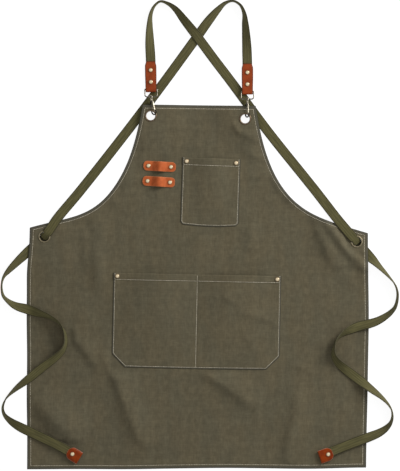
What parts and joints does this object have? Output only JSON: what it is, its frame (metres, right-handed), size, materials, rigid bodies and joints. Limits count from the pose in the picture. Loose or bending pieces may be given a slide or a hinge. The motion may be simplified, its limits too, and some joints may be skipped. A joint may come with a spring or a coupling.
{
  "type": "kitchen apron",
  "caption": "Cross-back canvas apron laid flat, with bib, patch pockets, leather pen loops and webbing straps that clip to the bib with snap hooks.",
  "frame": {"origin": "middle of the bounding box, on the surface the apron lies on", "axes": "+X across the apron to the right of its front, +Y up towards the bib, +Z off the surface"},
  "size_m": [0.8205, 0.9671, 0.0228],
  "materials": {
    "canvas": "matte",
    "webbing": "matte",
    "tab_leather": "satin",
    "loop_leather": "satin",
    "steel": "satin",
    "brass": "polished"
  },
  "bodies": {
    "apron": {"apron_body": "canvas", "chest_pocket": "canvas", "lower_pocket": "canvas", "strap_left": "webbing", "strap_right": "webbing", "tab_left": "tab_leather", "tab_right": "tab_leather", "tip_left": "tab_leather", "tip_right": "tab_leather", "pen_loop_upper": "loop_leather", "pen_loop_lower": "loop_leather", "ring_left": "steel", "ring_right": "steel", "hook_left": "steel", "hook_right": "steel", "grommet_bib_left": "brass", "grommet_bib_right": "brass", "grommet_side_left": "brass", "grommet_side_right": "brass", "rivet_chest_pocket_left": "brass", "rivet_chest_pocket_right": "brass", "rivet_lower_pocket_left": "brass", "rivet_lower_pocket_right": "brass", "rivet_pen_loop_upper_left": "brass", "rivet_pen_loop_upper_right": "brass", "rivet_pen_loop_lower_left": "brass", "rivet_pen_loop_lower_right": "brass", "rivet_tab_left_1": "brass", "rivet_tab_left_2": "brass", "rivet_tab_right_1": "brass", "rivet_tab_right_2": "brass", "rivet_tip_left": "brass", "rivet_tip_right": "brass"},
    "gate_left": {"gate_left": "steel"},
    "gate_right": {"gate_right": "steel"}
  },
  "joints": [
    {"name": "gate_left_hinge", "type": "hinge", "parent": "apron", "child": "gate_left", "pos_m": [-0.09761, 0.27409, 0.01288], "axis": [0.9025, 0.1413, -0.4067], "range_deg": [0, 8], "stiffness_Nm_per_rad": 0.05, "springref_deg": -11.46},
    {"name": "gate_right_hinge", "type": "hinge", "parent": "apron", "child": "gate_right", "pos_m": [0.09894, 0.26898, 0.01344], "axis": [0.9653, -0.0337, -0.2588], "range_deg": [0, 10], "stiffness_Nm_per_rad": 0.05, "springref_deg": -11.46}
  ]
}
